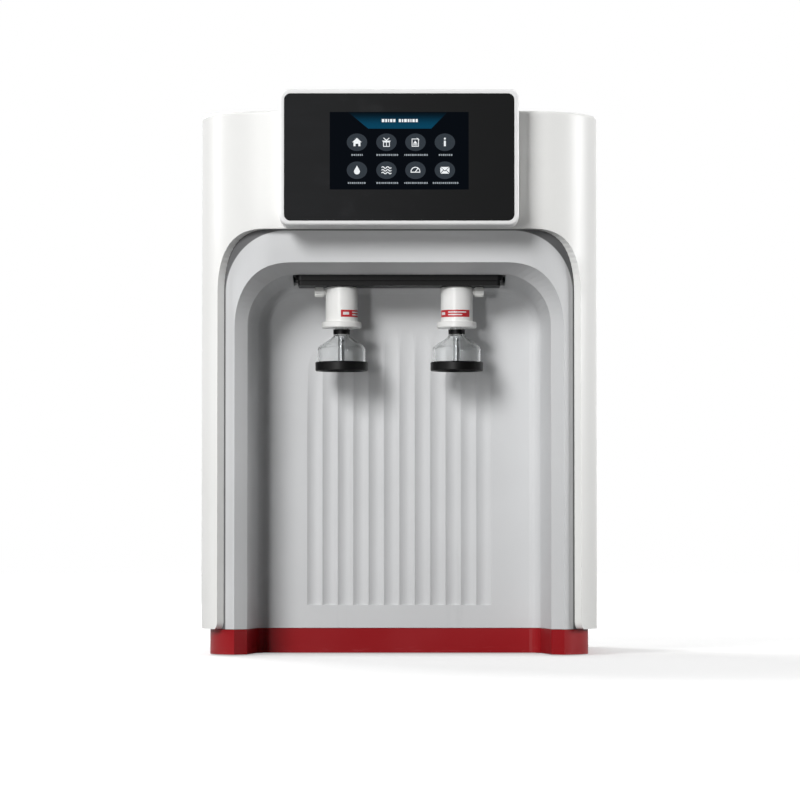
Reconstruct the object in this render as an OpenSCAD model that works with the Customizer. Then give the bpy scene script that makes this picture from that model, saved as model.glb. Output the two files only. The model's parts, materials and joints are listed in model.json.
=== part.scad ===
// Benchtop ultrapure water system: white wrap-around shell, grey arched front
// moulding with a fluted alcove, red plinth, touch display and two dispensers.
// Origin: on the bench, at the middle of the whole footprint. The front faces -Y.
// Inside the modules Y is the depth behind the shell's front plane.

/* [Body] */
// Width of the white shell
body_w = 400; // [380:1:440]
// Depth of the white shell from its front plane to its back
body_d = 440; // [436:1:500]
// Height of the shell's top above the bench
body_top = 544; // [530:1:580]
// Plan radius of the shell's front corners
front_r = 72; // [66:1:76]
// Plan radius of the shell's back corners
back_r = 22; // [14:1:30]
// Wall of the white shell
shell_wall = 3; // [2:0.5:4]
// Rounding of the shell's top edge
top_edge_r = 3; // [1.5:0.5:5]
// Depth of the grey moulding's face behind the shell's face
setback = 9; // [7:0.5:11]
// Seam between mouldings that meet
seam = 0.4; // [0.3:0.1:0.8]
// Gap between a fixed piece and one that moves past it
move_gap = 0.3; // [0.3:0.05:0.6]
// Radial clearance of a pin that turns or slides in its bore
pin_clear = 0.05; // [0.02:0.01:0.1]

/* [Plinth and base] */
// Height of the plinth's top above the bench
plinth_top = 26; // [20:1:34]
// Height of the plinth's bottom edge above the bench
plinth_lift = 1; // [0.5:0.5:3]
// Wall of the plinth
plinth_wall = 12; // [8:1:16]
// Width of the ledge that carries the base pan
ledge_w = 6; // [4:1:10]
// Thickness of the ledge
ledge_t = 4; // [3:1:5]
// Height of the base pan's underside above the bench
pan_z = 10; // [9:1:14]
// Thickness of the base pan
pan_t = 2; // [1:0.5:3]
// Radius of a foot
foot_r = 15; // [10:1:20]
// Distance of the feet from the shell's sides
foot_in = 46; // [42:1:60]

/* [Arch frame] */
// Distance from the shell's side to the arch's outer edge
arch_side = 24.6; // [23:0.2:30]
// Distance from the shell's top down to the arch's outer edge
arch_drop = 118; // [110:1:130]
// Radius of the arch's outer corners
arch_r = 62; // [50:1:70]
// Width of the face band at the sides
band_side = 10.4; // [8:0.2:14]
// Width of the face band at the top
band_top = 33; // [26:1:38]
// Width of the chamfer at the sides
chamfer_side = 12.5; // [9:0.5:15]
// Width of the chamfer at the top
chamfer_top = 9.5; // [7:0.5:13]
// Depth of the chamfer at the sides
chamfer_d = 12; // [9:0.5:15]
// Rounding of the shell's lower corners beside the arch
leg_r = 8; // [4:1:12]
// Wall of the grey moulding
mould_wall = 3; // [2:0.5:4]

/* [Alcove] */
// Depth of the alcove's back wall behind the shell's front plane
alcove_d = 105; // [98:1:112]
// Radius of the alcove's upper corners at the chamfer
alcove_r = 52; // [44:1:58]
// Draft angle of the alcove's side walls
alcove_draft = 7.5; // [4:0.5:10]
// Fillet between the side walls and the back wall
alcove_fillet = 12; // [8:1:16]
// Thickness of the fluted back wall
back_wall = 6; // [5:0.5:8]
// Number of flutes
flute_count = 12; // [8:1:14]
// Width of one flute
flute_pitch = 15.7; // [13:0.1:17]
// Depth of a flute
flute_depth = 2.4; // [1.4:0.1:3]
// Height of the flutes' lower ends above the bench
flute_z = 49.6; // [40:0.2:60]
// Height of the flutes' full-depth part
flute_h = 180; // [140:5:210]
// Height over which the flutes run out
flute_fade = 110; // [70:5:120]

/* [Dispensing] */
// Distance from the alcove's upper edge down to the dispensing head
head_drop = 11.5; // [9:0.5:15]
// Width of the dispensing head
head_w = 214; // [200:1:230]
// Depth of the head's front face behind the shell's front plane
head_y = 40; // [36:1:44]
// Depth of the head from front to back
head_d = 54; // [48:1:58]
// Height of the head
head_h = 30; // [24:1:36]
// Height of one step on the head's front
step_h = 5.2; // [3.6:0.2:5.6]
// Depth of one step on the head's front
step_d = 2.5; // [1.5:0.5:4]
// Distance between the two dispensers
spout_gap = 116.5; // [100:0.5:130]
// Depth of the dispensers behind the shell's front plane
spout_y = 64; // [60:1:70]
// Radius of the filter capsule
capsule_r = 16.2; // [14:0.2:18]
// Height of the filter capsule above its flange
capsule_h = 35.5; // [32:0.5:40]
// Radius of the capsule's flange
flange_r = 20; // [18:0.5:22]
// Height of the capsule's flange
flange_h = 6.4; // [5:0.2:8]
// Radius of the capsule's inlet stub
stub_r = 6; // [4:0.5:8]
// Length of the capsule's inlet stub
stub_h = 10; // [8:1:14]
// Radius of the vent knob
knob_r = 5; // [4:0.5:6]
// Length of the vent knob
knob_l = 9.3; // [8:0.1:12]
// Gap between the capsule and its vent knob
knob_gap = 1.8; // [1:0.2:3]
// Radius of the vent stem inside the knob
stem_r = 2; // [1.5:0.1:2.5]
// Number of grip ribs on the vent knob
knob_ribs = 14; // [10:1:18]

/* [Bell] */
// Outside radius of the bell's neck
neck_r = 8.5; // [7.5:0.1:9.5]
// Height of the bell's neck
neck_h = 6.5; // [5:0.5:8]
// Outside radius of the bell
bell_r = 24.4; // [22:0.2:27]
// Height of the bell's shoulder
shoulder_h = 14; // [11:0.5:18]
// Height of the bell's straight skirt
skirt_h = 16.3; // [12:0.1:20]
// Wall of the bell
bell_wall = 1.6; // [1.2:0.1:2.2]
// Outside radius of the black rim ring
rim_r = 26.6; // [25:0.1:30]
// Height of the black rim ring
rim_h = 9.2; // [7:0.2:12]
// Outside radius of the outlet tube
spout_r = 3.5; // [2.5:0.1:4.5]
// Wall of the outlet tube
spout_wall = 0.8; // [0.5:0.1:1]

/* [Display] */
// Width of the display pod
pod_w = 237; // [220:1:260]
// Height of the display pod
pod_h = 135.3; // [125:0.1:150]
// Distance that the pod stands proud of the shell
pod_proud = 35; // [28:1:45]
// Gap between the arch's outer edge and the pod's underside
pod_lift = 0.6; // [0.4:0.1:4]
// Corner radius of the pod
pod_r = 9; // [6:1:14]
// Rounding of the pod's front edge
pod_edge = 2.6; // [1.6:0.2:3]
// Width of the white bezel round the glass
bezel = 4.4; // [3.6:0.2:7]
// Wall of the pod
pod_wall = 3; // [2:0.5:3.4]
// Thickness of the cover glass
glass_t = 2; // [1.5:0.5:3]
// Width of the display panel behind the glass
lcd_w = 146; // [134:1:170]
// Height of the display panel
lcd_h = 85.6; // [78:0.2:96]
// Height of the display panel's middle above the glass's middle
lcd_up = 6.2; // [0:0.2:10]
// Width of the display panel's rim that the housing covers
lcd_rim = 4; // [3:0.5:6]
// Thickness of the display panel
lcd_t = 6; // [4:1:9]

/* [Service lid] */
// Width of the service lid
lid_w = 300; // [260:1:320]
// Depth of the lid's front edge behind the shell's front plane
lid_y = 130; // [124:1:140]
// Distance of the hinge line from the shell's back
hinge_in = 40; // [34:1:50]
// Thickness of the lid
lid_t = 3; // [2.5:0.5:4]
// Radius of the lid's hinge barrel
barrel_r = 4; // [4:0.5:6]
// Radius of the hinge pins
hinge_pin_r = 2; // [1.5:0.1:2.4]
// Width of a hinge bracket
bracket_w = 8; // [6:1:10]
// Width of the ledge under the lid
lid_ledge = 8; // [6:1:12]
// Radius of the finger notch in the lid's front edge
notch_r = 12; // [8:1:16]

/* [Back panel and ports] */
// Thickness of the back panel
panel_t = 2; // [1.5:0.5:3]
// Distance from the shell's side to the opening in its back
rear_flange = 32; // [26:1:40]
// Height of the back opening's lower edge above the bench
rear_z = 44; // [38:1:50]
// Distance from the shell's top to the back opening's upper edge
rear_drop = 18; // [14:1:26]
// Margin of the back panel round the opening
panel_margin = 9; // [8:1:14]
// Number of tube ports
port_count = 4; // [3:1:4]
// Distance between tube ports
port_pitch = 28; // [24:1:30]
// Height of the tube ports above the bench
port_z = 78; // [72:1:90]
// Distance that the ports and collets stand proud of the shell's back
port_proud = 18; // [16:0.5:24]
// Radius of the tube that the ports take
tube_r = 3.175; // [2.9:0.005:3.4]
// Wall of the release collet
collet_wall = 1.35; // [1.1:0.05:1.5]
// Travel of the release collet
collet_travel = 1.2; // [0.8:0.1:1.6]
// Number of vent slots in one column
slot_count = 9; // [5:1:10]
// Height of one vent slot
slot_h = 5; // [4:0.5:6]
// Width of one vent slot
slot_w = 50; // [40:5:54]
// Distance between vent slots
slot_pitch = 12; // [10:1:14]

/* [Power entry] */
// Height of the power entry's middle above the bench
power_z = 80; // [74:1:90]
// Distance of the mains inlet's middle from the side of the back opening
power_in = 56; // [54:1:60]
// Width of the mains inlet's flange
inlet_w = 50; // [48:1:54]
// Height of the mains inlet's flange
inlet_h = 36; // [35:1:40]
// Depth of the mains inlet's socket
socket_d = 16; // [14:1:18]
// Distance of the switch from the mains inlet's middle
switch_x = 44; // [42:1:50]
// Width of the power switch's frame
switch_w = 21; // [19:1:22]
// Height of the power switch's frame
switch_h = 30; // [28:1:34]
// Tilt of the rocker to each side
rocker_tilt = 9; // [6:1:11]
// Width of the fuse drawer
fuse_w = 18; // [16:1:20]
// Height of the fuse drawer
fuse_h = 8; // [7:0.5:9]

/* [Water train] */
// Height of a treatment cartridge
cartridge_h = 316; // [280:1:340]
// Gap between neighbouring treatment cartridges
cartridge_gap = 10; // [8:1:14]
// Gap between the bulkhead and the cartridges' rack
rack_gap = 9.2; // [7:0.2:12]
// Height of the rack that holds the cartridges' feet
rack_h = 26; // [20:1:34]
// Radius of a membrane housing
membrane_r = 41; // [38:1:43]
// Height of a membrane housing
membrane_h = 335; // [300:1:350]
// Gap between the cartridges' collar and the membranes' rack
membrane_gap = 7; // [5:0.5:12]
// Radius of the pump's motor
motor_r = 31; // [26:1:34]
// Length of the pump's head
pump_head_l = 18; // [14:1:20]
// Radius of the lamp reactor
reactor_r = 25; // [20:1:28]
// Height of the lamp reactor
reactor_h = 310; // [280:1:340]
// Width of a solenoid valve's body
valve_w = 26; // [22:1:30]
// Distance between solenoid valves
valve_pitch = 38; // [34:1:42]
// Outside radius of the inner tubing
hose_r = 3.2; // [2.8:0.1:4]
// Height of the electronics shelf above the moulding's top edge
shelf_lift = 6; // [4:1:10]
// Width of the control board
board_w = 170; // [150:1:190]
// Depth of the control board
board_d = 66; // [56:1:70]
// Width of the power supply
supply_w = 100; // [80:1:110]
// Height of the power supply
supply_h = 110; // [90:1:130]

/* [Hidden] */
$fn = 96;

// --- body ---
total_d = pod_proud + body_d + port_proud;
front_y = pod_proud - total_d / 2;
corner_x = body_w / 2 - front_r;
face_r = front_r - setback;
shell_z = plinth_top + seam;
eps = 0.01;

// --- arch and alcove ---
arch_half = body_w / 2 - arch_side;
arch_top = body_top - arch_drop;
arch_angle = asin((arch_half - corner_x) / face_r);
face_half = arch_half - band_side;
edge_y = front_r - sqrt(pow(face_r, 2) - pow(face_half - corner_x, 2));
alcove_y = edge_y + chamfer_d;
alcove_half = face_half - chamfer_side;
alcove_top = arch_top - band_top - chamfer_top;
slope_side = chamfer_side / chamfer_d;
slope_top = chamfer_top / (alcove_y - setback);
fillet_y = alcove_d - alcove_fillet;
moulding_back = front_r + 26;
moulding_top = arch_top + 14;

// --- dispensers ---
head_z = alcove_top - head_drop;
flange_z = head_z - capsule_h - flange_h - move_gap;
bell_top = flange_z - 0.3;
bell_z = bell_top - neck_h - shoulder_h - skirt_h;
rim_z = bell_z - rim_h + 3;
vent_z = head_z - knob_r - 2 * move_gap;
ring_wall = 1.2;
collar_r = neck_r - ring_wall - pin_clear - bell_wall - pin_clear;
// Outside of the bell: [radius, height] from its neck down to its skirt
bell_curve = [for (i = [0 : 10]) let (t = i / 10, ease = 3 * pow(t, 2) - 2 * pow(t, 3))
    [neck_r + (bell_r - neck_r) * ease, bell_top - neck_h - shoulder_h * t]];

// --- display ---
pod_z = arch_top + pod_lift;
glass_r = 6.5;
glass_w = pod_w - 2 * bezel;
glass_h = pod_h - 2 * bezel;
pod_mid = pod_z + pod_h / 2;
lcd_y = -pod_proud + glass_t + pod_wall;
lcd_mid = pod_mid + lcd_up;
board_y = lcd_y + lcd_t + 7;
board_t = 1.6;

// --- lid ---
hinge_y = body_d - hinge_in;
hinge_z = body_top - barrel_r;
barrel_half = lid_w / 2 - bracket_w - 2;

// --- back panel ---
panel_y = body_d - shell_wall - panel_t;
rear_half = body_w / 2 - rear_flange;
panel_out = body_d - shell_wall;
screw_r = 1.5;
screw_x = rear_half + panel_margin / 2;
screw_z0 = rear_z + 14;
screw_step = (body_top - rear_drop - rear_z - 28) / 3;
screw_spots = [for (side = [-1, 1], i = [0 : 3]) [side * screw_x, screw_z0 + i * screw_step]];
port_x0 = -rear_half + 22;
collar_t = 2;
port_end = body_d + port_proud - collar_t - collet_travel - move_gap;
collet_r = tube_r + 0.025 + collet_wall;

collet_bore = tube_r + 0.025;
collet_l = 8;
port_tail_r = 7;
port_r = 8.5;

// --- power entry ---
socket_w = 24.5;
socket_h = 17;
socket_up = 5;
power_x = rear_half - power_in;
fuse_drop = 12;
fuse_l = 22;
inlet_t = 3;
rocker_half = switch_h / 2 - 3.8;
rocker_w = switch_w - 6;
rocker_y = panel_out - 1;
rocker_pin_r = 1.5;

// --- inside ---
floor_z = pan_z + pan_t;
bulkhead_y = alcove_d + plinth_wall + pan_t + 2 * seam;
bulkhead_t = 2;
bulkhead_back = bulkhead_y + bulkhead_t;
shelf_z = moulding_top + shelf_lift;
inner_half = body_w / 2 - setback - plinth_wall - seam - pan_t;
rack_wall = 5;
rack_floor = 4;
cartridge_z = floor_z + rack_floor;
cartridge_top = cartridge_z + cartridge_h;
cartridge_half = inner_half - 12.6;
cartridge_r = (2 * (cartridge_half - rack_wall) - 3 * cartridge_gap) / 8;
cartridge_pitch = 2 * cartridge_r + cartridge_gap;
rack_y0 = bulkhead_back + rack_gap;
cartridge_y = rack_y0 + rack_wall + cartridge_r;
collar_z = cartridge_z + 0.72 * cartridge_h;
collar_y1 = cartridge_y + cartridge_r + 8;
cable_slot_w = 24;
cable_slot_h = 60;
cap_l = 44;
cap_port_x = 15;
port_l = 11;
frame_t = 4;
membrane_y = collar_y1 + membrane_gap + frame_t + membrane_r;
membrane_x0 = -inner_half + 10.6 + frame_t + membrane_r;
membrane_x = [membrane_x0, membrane_x0 + 2 * membrane_r + 8];
membrane_z = floor_z + 5;
membrane_top = membrane_z + membrane_h;
membrane_shelf_z = floor_z + 0.6 * membrane_h;
pump_flange_l = 20;
pump_x = membrane_x[1] + membrane_r + frame_t + 10 + pump_head_l + pump_flange_l;
shaft_l = 12;
motor_l = inner_half - 20.6 - shaft_l - pump_x;
pump_z = floor_z + motor_r + 8;
pump_y = membrane_y;
cap_h = 18;
reactor_x = inner_half - reactor_r - 13.6;
reactor_y = (pump_y + motor_r + 3 + panel_y) / 2;
reactor_port_z = 20;
riser_x = reactor_x - reactor_r - 20;
valve_h = 20;
valve_y = panel_y - 57;
valve_x = [for (i = [0 : 2]) port_x0 + i * valve_pitch];
supply_x = 36;
supply_d = 58;
supply_z = 150;
groove_in = 15;
chip_w = 26;
fitting_r = hose_r + 1.6;

// ---------- shared shapes ----------

// Moves a shape from depths behind the shell's front plane to the part's own frame
module at_front() translate([0, front_y, 0]) children();

// Plan of the body, drawn in by inset all round
module plan_2d(inset = 0) {
    half = body_w / 2 - inset;
    front = max(front_r - inset, 2);
    back = max(back_r - inset, 2);
    translate([-half, inset + front])
        square([2 * half, body_d - 2 * inset - front - back]);
    translate([front - half, inset])
        square([2 * (half - front), front + eps]);
    translate([back - half, body_d - inset - back - eps])
        square([2 * (half - back), back + eps]);
    for (side = [-1, 1]) {
        translate([side * (half - front), inset + front])
            circle(front);
        translate([side * (half - back), body_d - inset - back])
            circle(back);
    }
}

module plan_prism(inset, z0, z1) translate([0, 0, z0])
    linear_extrude(z1 - z0) plan_2d(inset);

// Box centred on X, from its two depths and heights
module bar(w, y0, y1, z0, z1) translate([-w / 2, y0, z0]) cube([w, y1 - y0, z1 - z0]);

// Outline of an arch that reaches down past the bench
function arch_points(half, top, r, steps = 14) = concat(
    [[-half, -5], [half, -5]],
    [for (i = [0 : steps]) let (a = 90 * i / steps)
        [half - r + r * cos(a), top - r + r * sin(a)]],
    [for (i = [0 : steps]) let (a = 90 + 90 * i / steps)
        [-half + r + r * cos(a), top - r + r * sin(a)]]
);

module arch_slice(y, half, top, r) translate([0, y, 0])
    rotate([90, 0, 0]) linear_extrude(eps) polygon(arch_points(half, top, r));

// Half outline of the alcove's plan: [depth, how far it draws in from the mouth's inner edge]
function alcove_steps(back = 0) =
    let (reach = alcove_y + 1, drawn = (fillet_y - alcove_y) * tan(alcove_draft))
    concat(
        [[-1, -reach * slope_side], [alcove_y, 0]],
        [for (a = [0 : 15 : 90])
            [fillet_y + (alcove_fillet + back) * sin(a), drawn + alcove_fillet * (1 - cos(a))]]
    );

// The alcove, lofted through arches that draw in with depth
module alcove(grow = 0, back = 0) {
    steps = alcove_steps(back);
    function ease(inset) = inset < 0 ? inset * slope_top / slope_side : inset;
    module slice(i) {
        inset = steps[i][1];
        arch_slice(steps[i][0] + (i == 0 ? 0 : eps), alcove_half - inset + grow,
            alcove_top - ease(inset) + grow, alcove_r - (inset + ease(inset)) / 2 + grow);
    }
    for (i = [0 : len(steps) - 2])
        hull() {
            slice(i);
            slice(i + 1);
        }
}

// The same alcove's plan, for the pieces low down that follow its walls
module alcove_plan(grow = 0, back = 0) {
    steps = alcove_steps(back);
    right = [for (s = steps) [alcove_half - s[1] + grow, s[0]]];
    left = [for (i = [len(steps) - 1 : -1 : 0]) [-right[i][0], right[i][1]]];
    polygon(concat(right, left));
}

// ---------- shell, moulding and plinth ----------

// Opening of the arch through the shell, its edges square to the shell's surface
module arch_cut(grow = 0) {
    tip = 5;
    gap_y = front_r - face_r * cos(arch_angle);
    steps = 8;
    half = arch_half + grow;
    top = arch_top + grow;
    outline = concat(
        [[half + leg_r, shell_z - 1]],
        [for (i = [0 : steps]) let (a = 90 * i / steps)
            [half + leg_r - leg_r * sin(a), shell_z + leg_r - leg_r * cos(a)]],
        [for (i = [0 : 2 * steps]) let (a = 90 * i / (2 * steps))
            [half - arch_r + arch_r * cos(a), top - arch_r + arch_r * sin(a)]]
    );
    mirrored = [for (i = [len(outline) - 1 : -1 : 0]) [-outline[i][0], outline[i][1]]];
    squeeze = corner_x / (corner_x + (front_r - gap_y) * tan(arch_angle));
    flare = (corner_x + (front_r + tip) * tan(arch_angle)) / corner_x;
    translate([0, front_r, 0])
        rotate([90, 0, 0])
            linear_extrude(front_r + tip, scale = [flare, 1], slices = 1)
                polygon([for (p = concat(outline, mirrored)) [p[0] * squeeze, p[1]]]);
}

// What a rounding of radius e takes off a square edge
module edge_profile(e) difference() {
    square(e + 1);
    circle(e);
}

// Cutter that rounds the upper rim of a rounded slab whose top lies at zero
module rim_cut(w, h, r, e) {
    module side(w, l) translate([w / 2 - e, l / 2, -e])
        rotate([90, 0, 0]) linear_extrude(l) edge_profile(e);
    for (a = [0, 180]) {
        rotate(a) side(w, h - 2 * r);
        rotate(a + 90) side(h, w - 2 * r);
    }
    for (sx = [0, 1], sy = [0, 1]) mirror([sx, 0, 0]) mirror([0, sy, 0])
        translate([w / 2 - r, h / 2 - r, -e])
            rotate_extrude(angle = 90) translate([r - e, 0]) edge_profile(e);
}

module top_edge_cut() {
    half = body_w / 2;
    e = top_edge_r;
    z = body_top - e;
    // front and back
    translate([-corner_x, e, z]) rotate([90, 0, 90])
        linear_extrude(2 * corner_x) mirror([1, 0]) edge_profile(e);
    translate([-(half - back_r), body_d - e, z]) rotate([90, 0, 90])
        linear_extrude(2 * (half - back_r)) edge_profile(e);
    // sides
    for (side = [0, 1]) mirror([side, 0, 0])
        translate([half - e, body_d - back_r, z]) rotate([90, 0, 0])
            linear_extrude(body_d - front_r - back_r) edge_profile(e);
    // corners
    for (side = [0, 1]) mirror([side, 0, 0]) {
        translate([corner_x, front_r, z]) rotate([0, 0, -90])
            rotate_extrude(angle = 90) translate([front_r - e, 0]) edge_profile(e);
        translate([half - back_r, body_d - back_r, z])
            rotate_extrude(angle = 90) translate([back_r - e, 0]) edge_profile(e);
    }
}

module outer_shell() color("white") at_front() difference() {
    union() {
        difference() {
            plan_prism(0, shell_z, body_top);
            plan_prism(shell_wall, shell_z - 1, body_top - shell_wall);
        }
        // return lips round the arch and along the lower edge
        difference() {
            plan_prism(shell_wall - 1, shell_z, arch_top + shell_wall);
            plan_prism(setback - seam, shell_z - 1, body_top);
            difference() {
                translate([0, 0, shell_z + shell_wall]) bar(body_w + 2, -1, body_d + 1, 0, body_top);
                arch_cut(shell_wall);
            }
            translate([0, 0, shell_z + shell_wall]) bar(body_w + 2, front_r, body_d + 1, 0, body_top);
        }
        // ledge round the lid
        bar(lid_w + 12, lid_y - 6, hinge_y + barrel_r + 8,
            body_top - shell_wall - lid_t, body_top - 1);
    }
    arch_cut();
    top_edge_cut();
    // lid pocket and the way down past its ledge
    bar(lid_w + 2 * seam, lid_y - seam, hinge_y + barrel_r + seam, body_top - lid_t - move_gap, body_top + 1);
    bar(lid_w - 2 * lid_ledge, lid_y + lid_ledge, hinge_y, 0, body_top + 1);
    bar(lid_w + 2 * seam, hinge_y - barrel_r - 1, hinge_y + barrel_r + seam, body_top - 20, body_top + 1);
    // finger room in the ledge under the lid's notch
    bar(2 * notch_r - 6, lid_y + 1, lid_y + lid_ledge + 1, body_top - 20, body_top + 1);
    // back opening, and the display's cable hole
    bar(2 * rear_half, body_d - shell_wall - 1, body_d + 1, rear_z, body_top - rear_drop);
    for (spot = screw_spots) translate([spot[0], body_d - shell_wall - 1, spot[1]])
        rotate([-90, 0, 0]) cylinder(r = screw_r + 0.1, h = shell_wall + 2);
    translate([0, -1, pod_z + pod_h / 3]) rotate([-90, 0, 0]) cylinder(r = 12, h = shell_wall + 2);
}

// Field of vertical flutes that run out towards their upper ends
module flutes() {
    per = 8;
    cols = flute_count * per;
    rows = 8;
    half = flute_count * flute_pitch / 2;
    land = 0.15;
    front = alcove_d - 3;
    function row_z(j) = flute_z + (j == 0 ? 0 : flute_h + flute_fade * (j - 1) / (rows - 1));
    function run_out(x, z) = let (
        top = flute_z + flute_h + flute_fade * (1 - 0.3 * pow(x / half, 2)),
        t = (top - z) / (top - flute_z - flute_h * 0.8)
    ) sin(90 * max(0, min(1, t)));
    function scoop(i) = 1 - pow(2 * (i % per) / per - 1, 2);
    function back(x, z, i) = alcove_d - land + (flute_depth + land) * scoop(i) * run_out(x, z);
    field = [for (j = [0 : rows], i = [0 : cols])
        let (x = -half + i * flute_pitch / per, z = row_z(j)) [x, back(x, z, i), z]];
    n = len(field);
    corners = [for (z = [row_z(0), row_z(rows)], x = [-half, half]) [x, front, z]];
    function at(i, j) = j * (cols + 1) + i;
    polyhedron(concat(field, corners), concat(
        [for (j = [0 : rows - 1], i = [0 : cols - 1]) [at(i, j), at(i + 1, j + 1), at(i, j + 1)]],
        [for (j = [0 : rows - 1], i = [0 : cols - 1]) [at(i, j), at(i + 1, j), at(i + 1, j + 1)]],
        [concat([for (i = [cols : -1 : 0]) at(i, 0)], [n, n + 1])],
        [concat([for (i = [0 : cols]) at(i, rows)], [n + 3, n + 2])],
        [concat([for (j = [0 : rows]) at(0, j)], [n + 2, n])],
        [concat([for (j = [rows : -1 : 0]) at(cols, j)], [n + 1, n + 3])],
        [[n + 2, n + 3, n + 1, n]]
    ));
}

module front_moulding() color("silver") at_front() difference() {
    intersection() {
        union() {
            difference() {
                plan_prism(setback, shell_z, moulding_top);
                plan_prism(setback + mould_wall, shell_z - 1, moulding_top + 1);
            }
            alcove(mould_wall, back_wall);
        }
        plan_prism(setback, shell_z, moulding_top);
        bar(body_w, 0, max(moulding_back, alcove_d + back_wall), 0, body_top);
    }
    alcove();
    flutes();
    head_cut();
}

// Hole in the alcove's ceiling that the dispensing head fills
module head_cut() bar(head_w + 2 * seam, head_y - seam, head_y + head_d + seam,
    head_z - 40, head_z + head_h + 20);

module plinth() color("firebrick") at_front() difference() {
    union() {
        translate([0, 0, plinth_lift]) linear_extrude(plinth_top - plinth_lift) difference() {
            plan_2d(setback);
            difference() {
                plan_2d(setback + plinth_wall);
                alcove_plan(plinth_wall, plinth_wall);
            }
        }
        translate([0, 0, pan_z - ledge_t]) linear_extrude(ledge_t) difference() {
            plan_2d(setback + plinth_wall - 1);
            difference() {
                plan_2d(setback + plinth_wall + ledge_w);
                alcove_plan(plinth_wall + ledge_w, plinth_wall + ledge_w);
            }
        }
    }
    linear_extrude(body_top) alcove_plan();
}

// Plan of the base pan, drawn in by inset all round
module pan_plan(inset = 0) difference() {
    plan_2d(setback + plinth_wall + seam + inset);
    alcove_plan(plinth_wall + seam + inset, plinth_wall + seam + inset);
}

module base_pan() color("gainsboro") at_front() translate([0, 0, pan_z]) {
    linear_extrude(pan_t) pan_plan();
    linear_extrude(plinth_top + 8 - pan_z) difference() {
        pan_plan();
        pan_plan(pan_t);
    }
}

module feet() color("dimgray") at_front()
    for (x = [-1, 1], y = [front_r + 70, body_d - foot_in])
        translate([x * (body_w / 2 - foot_in), y, 0]) {
            cylinder(r1 = foot_r - 1, r2 = foot_r, h = 3);
            translate([0, 0, 3]) cylinder(r = foot_r, h = pan_z - 3);
        }

// ---------- back panel ----------

// Box with rounded corners in front view, standing along Y from y0 to y1
module upright_slab(w, h, r, y0, y1, x = 0, z = 0) translate([x, y1, z])
    rotate([90, 0, 0]) linear_extrude(y1 - y0) rounded_2d(w, h, r);

module rounded_2d(w, h, r) {
    square([w, h - 2 * r], center = true);
    square([w - 2 * r, h], center = true);
    for (x = [-1, 1], y = [-1, 1])
        translate([x * (w / 2 - r), y * (h / 2 - r)]) circle(r);
}

// Cylinder along Y from y0 to y1
module rod_y(r, y0, y1, x = 0, z = 0) translate([x, y0, z])
    rotate([-90, 0, 0]) cylinder(r = r, h = y1 - y0);

// Cylinder along X from x0 to x1
module rod_x(r, x0, x1, y = 0, z = 0) translate([x0, y, z])
    rotate([0, 90, 0]) cylinder(r = r, h = x1 - x0);

function port_x(i) = port_x0 + i * port_pitch;

module rear_panel() color("whitesmoke") at_front() difference() {
    z0 = rear_z - panel_margin;
    z1 = body_top - rear_drop + panel_margin;
    upright_slab(2 * (rear_half + panel_margin), z1 - z0, 6, panel_y, panel_out, 0, (z0 + z1) / 2);
    // vent slots in two columns
    for (side = [-1, 1], i = [0 : slot_count - 1])
        upright_slab(slot_w, slot_h, slot_h / 2 - eps, panel_y - 1, panel_out + 1,
            side * (slot_w + 24) / 2, z1 - 50 - i * slot_pitch);
    for (i = [0 : port_count - 1])
        rod_y(port_tail_r + 0.2, panel_y - 1, panel_out + 1, port_x(i), port_z);
    upright_slab(socket_w + 6, inlet_h - 4, 1, panel_y - 1, panel_out + 1, power_x, power_z);
    upright_slab(switch_w - 2, switch_h - 2, 1, panel_y - 1, panel_out + 1, power_x + switch_x, power_z);
    for (spot = screw_spots)
        rod_y(screw_r + 0.1, panel_y - 1, panel_out + 1, spot[0], spot[1]);
}

module rear_screws() color("silver") at_front()
    for (spot = screw_spots) translate([spot[0], body_d, spot[1]]) rotate([-90, 0, 0]) difference() {
        union() {
            rotate_extrude() polygon(concat([[0, 0], [3.2, 0], [3.2, 0.6]],
                [for (a = [30 : 20 : 90]) [3 * cos(a), 0.6 + 1.4 * sin(a) - 0.4]]));
            translate([0, 0, -shell_wall - panel_t - 2]) cylinder(r = screw_r, h = shell_wall + panel_t + 2);
        }
        // cross recess
        translate([-1.7, -0.35, 0.6]) cube([3.4, 0.7, 2]);
        translate([-0.35, -1.7, 0.6]) cube([0.7, 3.4, 2]);
    }

module tube_ports() color("gainsboro") at_front()
    for (i = [0 : port_count - 1]) translate([port_x(i), 0, port_z]) difference() {
        union() {
            rod_y(10, panel_out, panel_out + 3);
            rod_y(port_r, panel_out + 2, port_end);
            rod_y(port_tail_r, panel_y - 14, panel_out + 1);
        }
        rod_y(collet_r + pin_clear, port_end - collet_l - collet_travel - 0.5, port_end + 1);
        rod_y(collet_bore, port_end - collet_l - 14, port_end);
    }

module port_nuts() color("dimgray") at_front()
    for (i = [0 : port_count - 1]) translate([port_x(i), 0, port_z]) difference() {
        translate([0, panel_y - 5, 0]) rotate([-90, 0, 0]) cylinder(r = 10.5, h = 5, $fn = 6);
        rod_y(port_tail_r + 0.05, panel_y - 6, panel_y + 1);
    }

module collet(i, shade) color(shade) at_front() translate([port_x(i), 0, port_z]) difference() {
    out = port_end + collet_travel + move_gap;
    union() {
        rod_y(collet_r, port_end - collet_l, out + 0.5);
        rod_y(6.5, out, out + collar_t);
    }
    rod_y(collet_bore, port_end - collet_l - 1, out + collar_t + 1);
}

// ---------- power entry ----------

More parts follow.
